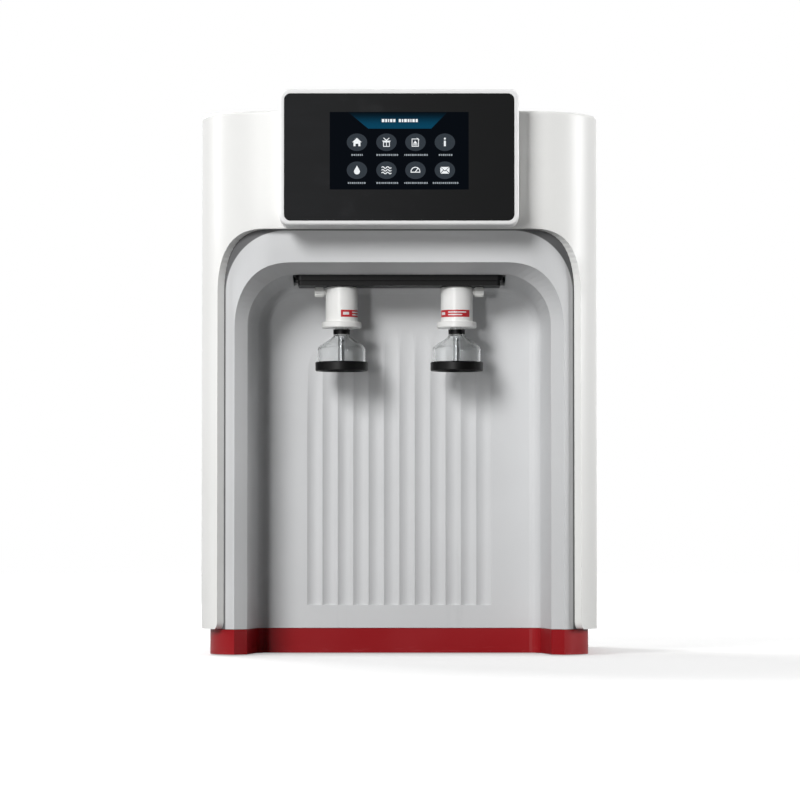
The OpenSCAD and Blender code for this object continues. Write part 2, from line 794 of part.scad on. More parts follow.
module mains_inlet() color("dimgray") at_front() translate([power_x, 0, power_z]) difference() {
    union() {
        upright_slab(inlet_w, inlet_h, 4, panel_out, panel_out + inlet_t);
        upright_slab(socket_w + 5, inlet_h - 5, 1, panel_out - fuse_l, panel_out + 1);
    }
    // socket with its two cut corners
    translate([0, panel_out + inlet_t + 1, socket_up]) rotate([90, 0, 0])
        linear_extrude(socket_d + 1) polygon([
            [-socket_w / 2, -socket_h / 2], [socket_w / 2, -socket_h / 2],
            [socket_w / 2, socket_h / 2 - 5], [socket_w / 2 - 5, socket_h / 2],
            [5 - socket_w / 2, socket_h / 2], [-socket_w / 2, socket_h / 2 - 5]
        ]);
    upright_slab(fuse_w, fuse_h, 0.5, panel_out - fuse_l + 2, panel_out + inlet_t + 1, 0, -fuse_drop);
    for (side = [-1, 1])
        rod_y(1.7, panel_out - 1, panel_out + inlet_t + 1, side * (inlet_w / 2 - 5), 0);
}

module inlet_blades() color("silver") at_front() translate([power_x, 0, power_z + socket_up]) {
    floor_y = panel_out + inlet_t - socket_d;
    for (x = [-7, 0, 7])
        upright_slab(2, 4, 0.6, floor_y, floor_y + socket_d - 3, x, x == 0 ? 2 : -2);
}

module fuse_drawer() color("black") at_front() translate([power_x, 0, power_z - fuse_drop]) difference() {
    upright_slab(fuse_w - 2 * move_gap, fuse_h - 2 * move_gap, 0.5,
        panel_out - fuse_l + 2 + move_gap, panel_out + inlet_t + 0.6);
    // tray for the fuse, open at the top, and a finger groove in the front
    translate([-fuse_w / 2 + 3, panel_out - fuse_l + 4, -1]) cube([fuse_w - 6, fuse_l - 6, fuse_h]);
    translate([-5, panel_out + inlet_t, -fuse_h]) cube([10, 2, fuse_h - 1]);
}

module switch_frame() color("black") at_front() translate([power_x + switch_x, 0, power_z]) difference() {
    union() {
        upright_slab(switch_w, switch_h, 2, panel_out, panel_out + 2);
        upright_slab(switch_w - 3, switch_h - 3, 1, panel_out - 16, panel_out + 1);
    }
    upright_slab(rocker_w + 2 * move_gap, 2 * rocker_half + 2.6, 0.5, panel_out - 9, panel_out + 3);
    rod_x(rocker_pin_r + pin_clear, -rocker_w / 2 - 1.2, rocker_w / 2 + 1.2, rocker_y);
}

module switch_rocker() color("firebrick") at_front()
    translate([power_x + switch_x, rocker_y, power_z]) rotate([rocker_tilt, 0, 0]) {
        rotate([90, 0, 90]) translate([0, 0, -rocker_w / 2]) linear_extrude(rocker_w)
            polygon([[-4, -7], [1, -rocker_half], [6, -rocker_half], [4, -rocker_half / 2], [3.2, 0],
                [4, rocker_half / 2], [6, rocker_half], [1, rocker_half], [-4, 7]]);
        rod_x(rocker_pin_r, -rocker_w / 2 - 1, rocker_w / 2 + 1);
    }

// ---------- display ----------

module display_housing() color("white") at_front() difference() {
    upright_slab(pod_w, pod_h, pod_r, -pod_proud, 0, 0, pod_mid);
    translate([0, -pod_proud, pod_mid]) rotate([90, 0, 0]) rim_cut(pod_w, pod_h, pod_r, pod_edge);
    // glass seat, window, and the hollow behind the front wall
    upright_slab(glass_w, glass_h, glass_r, -pod_proud - 1, -pod_proud + glass_t, 0, pod_mid);
    upright_slab(lcd_w - 2 * lcd_rim, lcd_h - 2 * lcd_rim, 1, -pod_proud, 0, 0, lcd_mid);
    upright_slab(pod_w - 2 * pod_wall, pod_h - 2 * pod_wall, pod_r - pod_wall,
        lcd_y, 1, 0, pod_mid);
}

module display_back() color("white") at_front() {
    upright_slab(pod_w - 2 * pod_wall - 0.4, pod_h - 2 * pod_wall - 0.4, pod_r - pod_wall - 0.2,
        -pod_wall, 0, 0, pod_mid);
    for (x = [-1, 1], z = [-1, 1])
        rod_y(3, board_y + board_t, -pod_wall + 1, x * (lcd_w / 2 - 6), lcd_mid + z * (lcd_h / 2 - 6));
}

module touch_glass() color("black") at_front()
    upright_slab(glass_w - 0.2, glass_h - 0.2, glass_r - 0.1,
        -pod_proud + 0.1, -pod_proud + glass_t, 0, pod_mid);

module display_panel() color("darkslategray") at_front() {
    upright_slab(lcd_w, lcd_h, 1, lcd_y, lcd_y + lcd_t, 0, lcd_mid);
    upright_slab(lcd_w - 2 * lcd_rim - 0.4, lcd_h - 2 * lcd_rim - 0.4, 0.8,
        -pod_proud + glass_t, lcd_y + 1, 0, lcd_mid);
}

module display_board() color("seagreen") at_front() {
    upright_slab(lcd_w - 4, lcd_h - 4, 2, board_y, board_y + board_t, 0, lcd_mid);
    upright_slab(chip_w, chip_w, 1, board_y - 2.5, board_y + eps, -20, lcd_mid + 8);
    upright_slab(16, 10, 1, board_y - 4, board_y + eps, 34, lcd_mid - 20);
    upright_slab(10, 24, 1, board_y - 5, board_y + eps, 50, lcd_mid + 10);
}

// ---------- dispensing ----------

function spout_x(side) = side * spout_gap / 2;

module dispensing_head() color("black") at_front() difference() {
    mid = head_y + head_d / 2;
    union() {
        for (i = [0 : 2]) {
            draw_in = (2 - i) * step_d;
            translate([0, mid, head_z + i * step_h])
                linear_extrude(i == 2 ? head_h - 2 * step_h : step_h + eps)
                    rounded_2d(head_w - 2 * draw_in, head_d - 2 * draw_in, 8 - draw_in);
        }
        // flange that hangs on the alcove's ceiling
        translate([0, mid, alcove_top + mould_wall + move_gap])
            linear_extrude(4) rounded_2d(head_w + 14, head_d + 10, 8);
        for (side = [-1, 1]) translate([spout_x(side), spout_y, head_z + head_h - 1])
            cylinder(r = 5, h = 11);
    }
    for (side = [-1, 1]) translate([spout_x(side), spout_y, head_z - 1]) {
        cylinder(r = stub_r + 0.1, h = stub_h + 2);
        cylinder(r = 2, h = head_h + 12);
    }
}

module filter_capsule(side) color("white") at_front() translate([spout_x(side), spout_y, 0]) difference() {
    top = flange_z + flange_h + capsule_h;
    round_r = 2.6;
    union() {
        rotate_extrude() polygon(concat(
            [[0, bell_top - neck_h], [collar_r, bell_top - neck_h], [collar_r, flange_z],
                [flange_r - 1, flange_z], [flange_r, flange_z + 1],
                [flange_r, flange_z + flange_h - 1], [flange_r - 1, flange_z + flange_h],
                [capsule_r, flange_z + flange_h]],
            [for (a = [0 : 15 : 90])
                [capsule_r - round_r + round_r * cos(a), top - round_r + round_r * sin(a)]],
            [[stub_r, top], [stub_r, top + stub_h], [0, top + stub_h]]
        ));
        rod_x(3, side > 0 ? capsule_r - 3 : -(capsule_r + knob_gap - move_gap),
            side > 0 ? capsule_r + knob_gap - move_gap : 3 - capsule_r, 0, vent_z);
        rod_x(stem_r, side > 0 ? capsule_r : -(capsule_r + knob_gap + knob_l - 2),
            side > 0 ? capsule_r + knob_gap + knob_l - 2 : -capsule_r, 0, vent_z);
    }
    // seat of the outlet tube, and the way in through the stub
    translate([0, 0, bell_top - neck_h - 1]) cylinder(r = spout_r, h = neck_h + 7.5);
    translate([0, 0, top - 4]) cylinder(r = 3, h = stub_h + 5);
}

module vent_knob(side) color("white") at_front()
    translate([spout_x(side) + side * (capsule_r + knob_gap), spout_y, vent_z])
        rotate([0, side * 90, 0]) difference() {
            union() {
                cylinder(r = knob_r - 0.5, h = knob_l);
                translate([0, 0, 0.8]) for (i = [0 : knob_ribs - 1]) rotate(i * 360 / knob_ribs)
                    translate([knob_r - 0.9, -0.5, 0]) cube([0.9, 1, knob_l - 1.6]);
            }
            translate([0, 0, -1]) cylinder(r = stem_r + pin_clear, h = knob_l - 0.5);
        }

module bell(side) color("lightcyan", 0.4) at_front() translate([spout_x(side), spout_y, 0]) {
    neck_out = neck_r - ring_wall - pin_clear;
    rotate_extrude() polygon(concat(
        [[neck_out - bell_wall, bell_top], [neck_out, bell_top], [neck_out, bell_top - neck_h]],
        bell_curve,
        [[bell_r, bell_z], [bell_r - bell_wall, bell_z]],
        [for (i = [10 : -1 : 0]) [bell_curve[i][0] - bell_wall, bell_curve[i][1] - bell_wall / 2]],
        [[neck_out - bell_wall, bell_top - neck_h - bell_wall]]
    ));
}

module neck_ring(side) color("black") at_front() translate([spout_x(side), spout_y, bell_top - neck_h + 0.6])
    difference() {
        cylinder(r = neck_r, h = neck_h - 1.6);
        translate([0, 0, -1]) cylinder(r = neck_r - ring_wall, h = neck_h + 2);
    }

module rim_ring(side) color("black") at_front() translate([spout_x(side), spout_y, 0]) {
    rotate_extrude() polygon([
        [bell_r - bell_wall, rim_z], [rim_r - 0.8, rim_z], [rim_r, rim_z + 0.8],
        [rim_r, rim_z + rim_h - 0.8], [rim_r - 0.8, rim_z + rim_h],
        [bell_r + pin_clear, rim_z + rim_h], [bell_r + pin_clear, bell_z], [bell_r - bell_wall, bell_z]
    ]);
}

module outlet_tube(side) color("silver") at_front()
translate([spout_x(side), spout_y, rim_z + 3]) difference() {
    cylinder(r = spout_r, h = flange_z + 5 - rim_z - 3);
    translate([0, 0, -1]) cylinder(r = spout_r - spout_wall, h = body_top);
}

// ---------- service lid ----------

module service_lid() color("white") at_front() difference() {
    union() {
        translate([0, 0, body_top - lid_t]) linear_extrude(lid_t) difference() {
            translate([-lid_w / 2, lid_y]) square([lid_w, hinge_y - lid_y]);
            translate([0, lid_y]) circle(notch_r);
            for (side = [-1, 1]) translate([side * (barrel_half + lid_w / 2), hinge_y])
                square([lid_w, 2 * barrel_r + 4], center = true);
        }
        rod_x(barrel_r, -barrel_half, barrel_half, hinge_y, hinge_z);
        // stiffening ribs under the lid
        for (x = [-1, 0, 1]) translate([x * lid_w / 4 - 1.5, lid_y + lid_ledge + 6, body_top - lid_t - 6])
            cube([3, hinge_y - lid_y - lid_ledge - 20, 6 + eps]);
    }
    for (side = [-1, 1])
        rod_x(hinge_pin_r, side > 0 ? barrel_half - 12 : -barrel_half - 1,
            side > 0 ? barrel_half + 1 : 12 - barrel_half, hinge_y, hinge_z);
}

module lid_hinge_pins() color("silver") at_front()
    for (side = [-1, 1])
        rod_x(hinge_pin_r, side > 0 ? barrel_half - 12 : -barrel_half - bracket_w,
            side > 0 ? barrel_half + bracket_w : 12 - barrel_half, hinge_y, hinge_z);

module lid_brackets() color("gainsboro") at_front()
    for (side = [0, 1]) mirror([side, 0, 0])
        translate([barrel_half + move_gap, hinge_y, 0]) difference() {
            ledge = body_top - shell_wall - lid_t;
            union() {
                rod_x(barrel_r, 0, bracket_w, 0, hinge_z);
                translate([0, -barrel_r, ledge - 10]) cube([bracket_w, 2 * barrel_r, hinge_z - ledge + 10]);
                translate([0, -barrel_r, ledge - 10]) cube([bracket_w, 2 * barrel_r + 8, 10]);
            }
            rod_x(hinge_pin_r + pin_clear, -1, bracket_w + 1, 0, hinge_z);
        }

// ---------- structure inside ----------

module bulkhead() color("gainsboro") at_front() difference() {
    half = inner_half - 5.6;
    union() {
        bar(2 * half, bulkhead_y, bulkhead_back, floor_z, body_top - shell_wall - 10);
        bar(2 * half, bulkhead_y, rack_y0 - move_gap, floor_z, floor_z + 2);
        bar(board_w + 24, front_r / 2, bulkhead_back, shelf_z, shelf_z + 2);
    }
    for (side = [-1, 1]) rod_y(8, bulkhead_y - 1, bulkhead_back + 1, spout_x(side), head_z + head_h + 24);
    // slots for the cables
    for (i = [-1 : 1])
        upright_slab(cable_slot_w, cable_slot_h, 6, bulkhead_y - 1, bulkhead_back + 1,
            i * 1.5 * cartridge_pitch, collar_z - cable_slot_h / 2 - 6);
}

function slot_x(i) = (i - 1.5) * cartridge_pitch;

module cartridge_rack() color("lightgray") at_front() difference() {
    bar(2 * cartridge_half, rack_y0, cartridge_y + cartridge_r + rack_wall, floor_z, floor_z + rack_h);
    for (i = [0 : 3]) translate([slot_x(i), cartridge_y, cartridge_z])
        cylinder(r = cartridge_r + 0.5, h = rack_h);
}

module cartridge_collar() color("gainsboro") at_front() difference() {
    bar(2 * cartridge_half, bulkhead_back, collar_y1, collar_z, collar_z + 3);
    for (i = [0 : 3]) translate([slot_x(i), cartridge_y, collar_z - 1])
        cylinder(r = cartridge_r + 0.8, h = 5);
}

module cartridge(i, shade) color(shade) at_front()
    translate([slot_x(i), cartridge_y, cartridge_z]) {
        r = cartridge_r;
        h = cartridge_h;
        rotate_extrude() polygon([
            [0, 0], [r - 2, 0], [r, 2], [r, cap_l / 2], [r - 1.2, cap_l / 2 + 2],
            [r - 1.2, h - cap_l - 2], [r, h - cap_l], [r, h - cap_l / 2], [r - 3, h - cap_l / 2 + 6],
            [r - 14, h - port_l + 1], [0, h - port_l + 1]
        ]);
        for (x = [-1, 1]) translate([x * cap_port_x, 0, h - port_l]) cylinder(r = 5, h = port_l);
    }

module membrane_housing(x) color("whitesmoke") at_front() translate([x, membrane_y, membrane_z]) {
    r = membrane_r;
    h = membrane_h;
    rotate_extrude() polygon([
        [0, 0], [r - 6, 0], [r - 3, 4], [r - 3, h - cap_l - 16], [r, h - cap_l - 12],
        [r, h - cap_l / 2 - 2], [r - 4, h - cap_l / 2 + 6], [r - 16, h - port_l + 1], [0, h - port_l + 1]
    ]);
    for (x = [-1, 1]) translate([x * cap_port_x, 0, h - port_l]) cylinder(r = 5, h = port_l);
}

module membrane_rack() color("lightgray") at_front() {
    w = membrane_x[1] - membrane_x[0] + 2 * (membrane_r + frame_t);
    mid = (membrane_x[0] + membrane_x[1]) / 2;
    y0 = membrane_y - membrane_r - frame_t;
    d = 2 * (membrane_r + frame_t);
    for (z = [floor_z, membrane_shelf_z]) difference() {
        translate([mid - w / 2, y0, z]) cube([w, d, z == floor_z ? 16 : 3]);
        for (x = membrane_x) translate([x, membrane_y, z == floor_z ? membrane_z : z - 1])
            cylinder(r = membrane_r - 3 + 0.4, h = 40);
    }
    for (y = [y0 + 5, y0 + d - 5])
        translate([mid, y, floor_z + 15]) cylinder(r = 4, h = membrane_shelf_z - floor_z - 14);
}

module pump_cradle() color("dimgray") at_front() difference() {
    translate([pump_x + 14, pump_y - motor_r, floor_z])
        cube([motor_l - 28, 2 * motor_r, pump_z - floor_z - 8]);
    rod_x(motor_r + 0.1, pump_x, pump_x + motor_l, pump_y, pump_z);
}

module pump_motor() color("slategray") at_front() translate([pump_x, pump_y, pump_z]) {
    rod_x(motor_r, 0, motor_l);
    rod_x(motor_r - 6, motor_l - eps, motor_l + 6);
    rod_x(4, motor_l, motor_l + shaft_l);
}

module booster_pump() color("black") at_front() translate([pump_x, pump_y, pump_z]) {
    rod_x(motor_r + 3, -8, 0);
    rod_x(motor_r - 2, -pump_flange_l, -8 + eps);
    translate([-pump_flange_l - pump_head_l, -motor_r + 2, -motor_r + 2])
        cube([pump_head_l + eps, 2 * motor_r - 4, 2 * motor_r - 4]);
    for (y = [-14, 14])
        translate([-pump_flange_l - pump_head_l / 2, y, motor_r - 3]) cylinder(r = 5, h = 14);
}

module lamp_reactor() color("silver") at_front() translate([reactor_x, reactor_y, floor_z + cap_h]) {
    cylinder(r = reactor_r, h = reactor_h);
    for (z = [reactor_port_z, reactor_h - reactor_port_z])
        rod_x(4.5, -reactor_r - 12, 0, 0, z);
}

module lamp_caps() color("black") at_front() for (top = [0, 1])
    translate([reactor_x, reactor_y, top ? floor_z + cap_h + reactor_h : floor_z])
        cylinder(r = reactor_r + 2, h = cap_h);

module power_supply() color("silver") at_front() difference() {
    translate([supply_x - supply_w / 2, panel_y - supply_d, supply_z]) cube([supply_w, supply_d, supply_h]);
    // ventilation grooves in the case
    for (i = [0 : 7])
        translate([supply_x - supply_w / 2 + 12 + i * 9, panel_y - supply_d - 1, supply_z + groove_in])
            cube([3, 3, supply_h - 2 * groove_in]);
}

module control_board() color("seagreen") at_front() {
    y0 = front_r / 2 + 4;
    z = shelf_z + 8;
    translate([-board_w / 2, y0, z]) cube([board_w, board_d, board_t]);
    for (x = [-1, 1], y = [5, board_d - 5])
        translate([x * (board_w / 2 - 5), y0 + y, shelf_z + 2]) cylinder(r = 3, h = 6 + eps);
    for (i = [0 : 4]) translate([19 - board_w / 2 + i * 15, y0 + 8, z + board_t - eps]) cube([10, 12, 10]);
    for (i = [0 : 2])
        translate([board_w / 2 - 55 + i * 18, y0 + board_d - 22, z + board_t - eps]) cylinder(r = 6, h = 18);
    translate([-chip_w - 4, y0 + board_d - chip_w - 8, z + board_t - eps]) cube([chip_w, chip_w, 3]);
}

module solenoid_valves() color("slategray") at_front() for (x = valve_x) translate([x, valve_y, floor_z]) {
    translate([-valve_w / 2, -valve_w / 2, 0]) cube([valve_w, valve_w, valve_h]);
    translate([0, 0, valve_h - eps]) cylinder(r = valve_w / 2 - 2, h = valve_w);
    rod_y(4.5, valve_w / 2 - eps, valve_w / 2 + 9, 0, valve_h / 2);
}

module resistivity_cell() color("ivory") at_front() translate([0, bulkhead_back + 9, shelf_z - 14]) {
    rod_x(9, -20, 20);
    translate([0, 0, 7]) cylinder(r = 7, h = 16);
}

module leak_sensor() color("ivory") at_front() translate([0, valve_y, floor_z]) {
    cylinder(r = 11, h = 5);
    translate([-4, 0, 0]) cube([8, 18, 4]);
}

// Straight runs of tube through points, with a barrel fitting at each turn
module run(points) {
    for (i = [0 : len(points) - 2]) {
        step = points[i + 1] - points[i];
        translate(points[i]) rotate([0, acos(step[2] / norm(step)), atan2(step[1], step[0])])
            cylinder(r = hose_r, h = norm(step), $fn = 32);
    }
    if (len(points) > 2) for (i = [1 : len(points) - 2])
        translate(points[i]) cylinder(r = fitting_r, h = 2 * fitting_r, center = true, $fn = 32);
}

// Half-round link between two upright ports on one line
module link(x0, x1, y, z) translate([(x0 + x1) / 2, y, z]) rotate([90, 0, 0])
    rotate_extrude(angle = 180) translate([(x1 - x0) / 2, 0]) circle(hose_r);

module inner_tubing() color("aliceblue") at_front() {
    for (i = [0 : 2])
        link(slot_x(i) + cap_port_x, slot_x(i + 1) - cap_port_x, cartridge_y, cartridge_top);
    link(membrane_x[0] + cap_port_x, membrane_x[1] - cap_port_x, membrane_y, membrane_top);
    // product water: polisher, lamp reactor, cell, head
    top = cartridge_top + 34;
    run([[slot_x(3) + cap_port_x, cartridge_y, cartridge_top], [slot_x(3) + cap_port_x, cartridge_y, top],
        [riser_x, cartridge_y, top], [riser_x, reactor_y, top],
        [riser_x, reactor_y, floor_z + cap_h + reactor_h - reactor_port_z],
        [reactor_x - reactor_r - 12, reactor_y, floor_z + cap_h + reactor_h - reactor_port_z]]);
    for (side = [-1, 1])
        run([[spout_x(side), spout_y, head_z + head_h + 10], [spout_x(side), spout_y, head_z + head_h + 24],
            [spout_x(side), bulkhead_back + 9, head_z + head_h + 24],
            [spout_x(side), bulkhead_back + 9, shelf_z - 14], [side * 20, bulkhead_back + 9, shelf_z - 14]]);
    // feed water: port, valve, first cartridge
    run([[port_x(0), panel_y - 14, port_z], [port_x(0), panel_y - 30, port_z],
        [valve_x[0], panel_y - 30, floor_z + valve_h / 2],
        [valve_x[0], valve_y + valve_w / 2 + 9, floor_z + valve_h / 2]]);
}

outer_shell();
front_moulding();
plinth();
base_pan();
feet();
bulkhead();
rear_panel();
rear_screws();
display_housing();
display_back();
touch_glass();
display_panel();
display_board();
dispensing_head();
filter_capsule(-1);  // filter_capsule_left
filter_capsule(1);  // filter_capsule_right
vent_knob(-1);  // vent_knob_left
vent_knob(1);  // vent_knob_right
bell(-1);  // bell_left
bell(1);  // bell_right
neck_ring(-1);  // neck_ring_left
neck_ring(1);  // neck_ring_right
rim_ring(-1);  // rim_ring_left
rim_ring(1);  // rim_ring_right
outlet_tube(-1);  // outlet_tube_left
outlet_tube(1);  // outlet_tube_right
service_lid();
lid_hinge_pins();
lid_brackets();
tube_ports();
port_nuts();
collet(0, "royalblue");  // feed_collet
collet(1, "dimgray");  // drain_collet
collet(2, "royalblue");  // tank_collet
collet(3, "royalblue");  // product_collet
mains_inlet();
inlet_blades();
fuse_drawer();
switch_frame();
switch_rocker();
cartridge_rack();
cartridge_collar();
cartridge(0, "white");  // sediment_cartridge
cartridge(1, "slategray");  // carbon_cartridge
cartridge(2, "steelblue");  // deioniser_cartridge
cartridge(3, "royalblue");  // polishing_cartridge
membrane_housing(membrane_x[0]);  // membrane_housing_left
membrane_housing(membrane_x[1]);  // membrane_housing_right
membrane_rack();
booster_pump();
pump_motor();
pump_cradle();
lamp_reactor();
lamp_caps();
power_supply();
control_board();
solenoid_valves();
resistivity_cell();
leak_sensor();
inner_tubing();
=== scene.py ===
import json
import math
import bpy
import bmesh
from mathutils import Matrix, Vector


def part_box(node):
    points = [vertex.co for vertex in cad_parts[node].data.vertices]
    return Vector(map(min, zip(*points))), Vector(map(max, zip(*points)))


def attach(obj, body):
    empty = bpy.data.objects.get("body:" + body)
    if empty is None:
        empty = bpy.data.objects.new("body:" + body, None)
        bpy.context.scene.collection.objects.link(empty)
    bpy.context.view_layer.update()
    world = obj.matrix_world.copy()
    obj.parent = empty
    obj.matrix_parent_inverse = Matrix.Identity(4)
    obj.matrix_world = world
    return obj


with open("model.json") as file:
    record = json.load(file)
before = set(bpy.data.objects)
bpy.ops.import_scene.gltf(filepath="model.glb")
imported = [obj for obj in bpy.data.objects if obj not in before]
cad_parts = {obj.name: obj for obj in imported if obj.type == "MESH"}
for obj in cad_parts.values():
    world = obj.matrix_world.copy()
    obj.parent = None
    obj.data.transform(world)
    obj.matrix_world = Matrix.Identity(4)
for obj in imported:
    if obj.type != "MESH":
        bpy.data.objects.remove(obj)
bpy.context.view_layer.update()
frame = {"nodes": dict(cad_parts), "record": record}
nodes = frame["nodes"]
mm = 0.001
print("frame: %d nodes" % len(nodes))


def rgba(value):  # "#rrggbb" as written on a screen, turned into light by the screen's usual curve
    parts = [int(value[i:i + 2], 16) / 255 for i in (1, 3, 5)]
    return [c / 12.92 if c <= 0.04045 else ((c + 0.055) / 1.055) ** 2.4 for c in parts] + [1.0]


class Flow:  # one socket of a node tree, so that + - and * add its Math nodes
    def __init__(self, tree, socket=None):
        self.tree = tree
        self.socket = socket

    def node(self, kind, settings=None, values=None, out=0):
        made = self.tree.nodes.new("ShaderNode" + kind)
        for key, value in (settings or {}).items():
            setattr(made, key, value)
        for key, value in (values or {}).items():
            socket = made.inputs[key]
            if isinstance(value, Flow):
                self.tree.links.new(value.socket, socket)
            else:
                socket.default_value = rgba(value) if socket.type == "RGBA" else value
        return Flow(self.tree, made.outputs[out])

    def math(self, operation, a, b=0.0):
        return self.node("Math", {"operation": operation}, {0: a, 1: b})

    def __add__(self, other):
        return self.math("ADD", self, other)

    def __sub__(self, other):
        return self.math("SUBTRACT", self, other)

    def __rsub__(self, other):
        return self.math("SUBTRACT", other, self)

    def __mul__(self, other):
        return self.math("MULTIPLY", self, other)

    def __abs__(self):
        return self.math("ABSOLUTE", self)

    __radd__ = __add__
    __rmul__ = __mul__

    def rise(self, low, high):  # 0 below low, 1 above high
        return self.node("MapRange", {"interpolation_type": "SMOOTHSTEP"},
                         {"Value": self, "From Min": low, "From Max": high})

    def band(self, low, high, soft):  # 1 between low and high
        return self.rise(low - soft, low + soft) * (1 - self.rise(high - soft, high + soft))

    def tint(self, a, b):  # colour a where this is 0, b where it is 1
        return self.node("Mix", {"data_type": "RGBA"}, {0: self, 6: a, 7: b}, out=2)


class Spot:  # where a point lies on the object, in metres
    def __init__(self, flow):
        self.point = flow.node("TexCoord", out="Object")
        self.x, self.y, self.z = [flow.node("SeparateXYZ", values={0: self.point}, out=i) for i in range(3)]

    def noise(self, scale, detail=3.0, stretch=None):
        at = self.point
        if stretch:
            at = at.node("Mapping", values={"Vector": at, "Scale": stretch})
        return at.node("TexNoise", values={"Vector": at, "Scale": scale, "Detail": detail})

    def grain(self, scale):
        return self.noise(scale, detail=2.0)

    def patches(self, scale, detail, low, high, stretch=None):  # noise that is cut off at two levels
        return self.noise(scale, detail, stretch).rise(low, high)

    def flakes(self, scale):  # one tone for each cell
        cell = self.point.node("TexVoronoi", values={"Vector": self.point, "Scale": scale}, out="Color")
        return cell.node("SeparateColor", values={0: cell})


def makeFinish(name, paint, **fixed):  # paint(flow, at) gives what varies, fixed what doesn't
    made = bpy.data.materials.new(name)
    made.use_nodes = True
    tree = made.node_tree
    shader = tree.nodes["Principled BSDF"]
    for key, value in fixed.items():
        socket = shader.inputs[key.replace("_", " ")]
        socket.default_value = rgba(value) if socket.type == "RGBA" else value
    flow = Flow(tree)
    for key, value in paint(flow, Spot(flow)).items():
        if key == "Bump":
            value = flow.node("Bump", values={"Height": value[0], "Distance": value[1] * mm, "Strength": 1.0})
            key = "Normal"
        tree.links.new(value.socket, shader.inputs[key])
    return made


# In the finishes' settings, patches are a noise's scale and detail and the two levels that cut it off.
# Tone, Rough and Bump are the shares that each mark has in the colour, the roughness and the relief.
# Depths of relief are in mm, places on the object in metres.

plastic = {
    "drift": (7.0, 4.0, 0.36, 0.68), "rubbed": (46.0, 5.0, 0.56, 0.74), "dustTop": 0.12,
    "driftTone": 0.45, "rubbedTone": 0.25, "rubbedRough": 0.6, "grainRough": 0.05, "rubbedBump": 0.2,
}


def moulded(colour, worn, rough=0.4, grain=1100.0, depth=0.02, spread=0.08, dust=0.25):
    # plastic: a fine moulded grain, a slow drift of tone, dust that settles low, rubbed patches
    def paint(flow, at):
        drift = at.patches(*plastic["drift"])
        rubbed = at.patches(*plastic["rubbed"])
        settled = (1 - at.z.rise(0.0, plastic["dustTop"])) * dust
        fine = at.grain(grain)
        wear = drift * plastic["driftTone"] + rubbed * plastic["rubbedTone"] + settled
        return {
            "Base Color": wear.tint(colour, worn),
            "Roughness": rough + drift * spread + rubbed * spread * plastic["rubbedRough"]
            + fine * plastic["grainRough"],
            "Bump": (fine + rubbed * plastic["rubbedBump"], depth),
        }
    return paint


powder = {
    "peel": 520.0, "depth": 0.03, "cloud": (5.0, 4.0, 0.35, 0.7), "smudge": (24.0, 4.0, 0.58, 0.78),
    "dustNoise": (30.0, 4.0), "dustHeights": (0.02, 0.15),
    "cloudTone": 0.3, "smudgeTone": 0.2, "dustTone": 0.45, "cloudRough": 0.05, "smudgeRough": 0.1,
}


def coated(colour, worn, rough=0.36):  # powder coat: soft orange peel, smudges, dust low down
    def paint(flow, at):
        peel = at.grain(powder["peel"])
        cloud = at.patches(*powder["cloud"])
        smudge = at.patches(*powder["smudge"])
        dust = (1 - at.z.rise(*powder["dustHeights"])) * at.noise(*powder["dustNoise"])
        wear = cloud * powder["cloudTone"] + smudge * powder["smudgeTone"] + dust * powder["dustTone"]
        return {
            "Base Color": wear.tint(colour, worn),
            "Roughness": rough + cloud * powder["cloudRough"] + smudge * powder["smudgeRough"],
            "Bump": (peel, powder["depth"]),
        }
    return paint


brushed = {
    "lines": 60.0, "lineDetail": 4.0, "stain": (18.0, 4.0, 0.5, 0.75),
    "lineTone": 0.4, "stainTone": 0.4, "lineRough": 0.12, "stainRough": 0.1,
}


def metal(colour, dull, rough, stretch=(1.0, 1.0, 30.0), depth=0.006):  # brushed or drawn
    def paint(flow, at):
        lines = at.noise(brushed["lines"], brushed["lineDetail"], stretch)
        stain = at.patches(*brushed["stain"])
        return {
            "Base Color": (lines * brushed["lineTone"] + stain * brushed["stainTone"]).tint(colour, dull),
            "Roughness": rough + lines * brushed["lineRough"] + stain * brushed["stainRough"],
            "Bump": (lines, depth),
        }
    return paint


zincLook = {
    "colour": "#b4b8bb", "dull": "#8f9497", "rough": 0.34, "depth": 0.008,
    "flakes": 95.0, "cloud": 20.0, "flakeTone": 0.6, "cloudTone": 0.3, "flakeRough": 0.2,
}


def zincFinish(flow, at):  # spangle of plated sheet
    flake = at.flakes(zincLook["flakes"])
    cloud = at.noise(zincLook["cloud"])
    wear = flake * zincLook["flakeTone"] + cloud * zincLook["cloudTone"]
    return {
        "Base Color": wear.tint(zincLook["colour"], zincLook["dull"]),
        "Roughness": zincLook["rough"] + flake * zincLook["flakeRough"],
        "Bump": (flake, zincLook["depth"]),
    }


boardLook = {
    "lacquer": "#1d5a30", "lacquerWorn": "#256a3a", "track": "#3c8a52", "depth": 0.02, "bump": 500.0,
    "scale": 140.0, "trackWidth": 0.05, "trackGap": 0.25, "trackLength": 1.6,
    "rough": 0.3, "roughNoise": 200.0, "roughSpread": 0.2,
}


def boardFinish(flow, at):  # green lacquer over straight copper tracks
    tracks = at.point.node("TexBrick", {"offset": 0.5}, {
        "Vector": at.point, "Color1": boardLook["lacquer"], "Color2": boardLook["lacquerWorn"],
        "Mortar": boardLook["track"], "Scale": boardLook["scale"], "Mortar Size": boardLook["trackWidth"],
        "Row Height": boardLook["trackGap"], "Brick Width": boardLook["trackLength"]})
    return {
        "Base Color": tracks,
        "Roughness": boardLook["rough"] + at.noise(boardLook["roughNoise"]) * boardLook["roughSpread"],
        "Bump": (at.noise(boardLook["bump"]), boardLook["depth"]),
    }


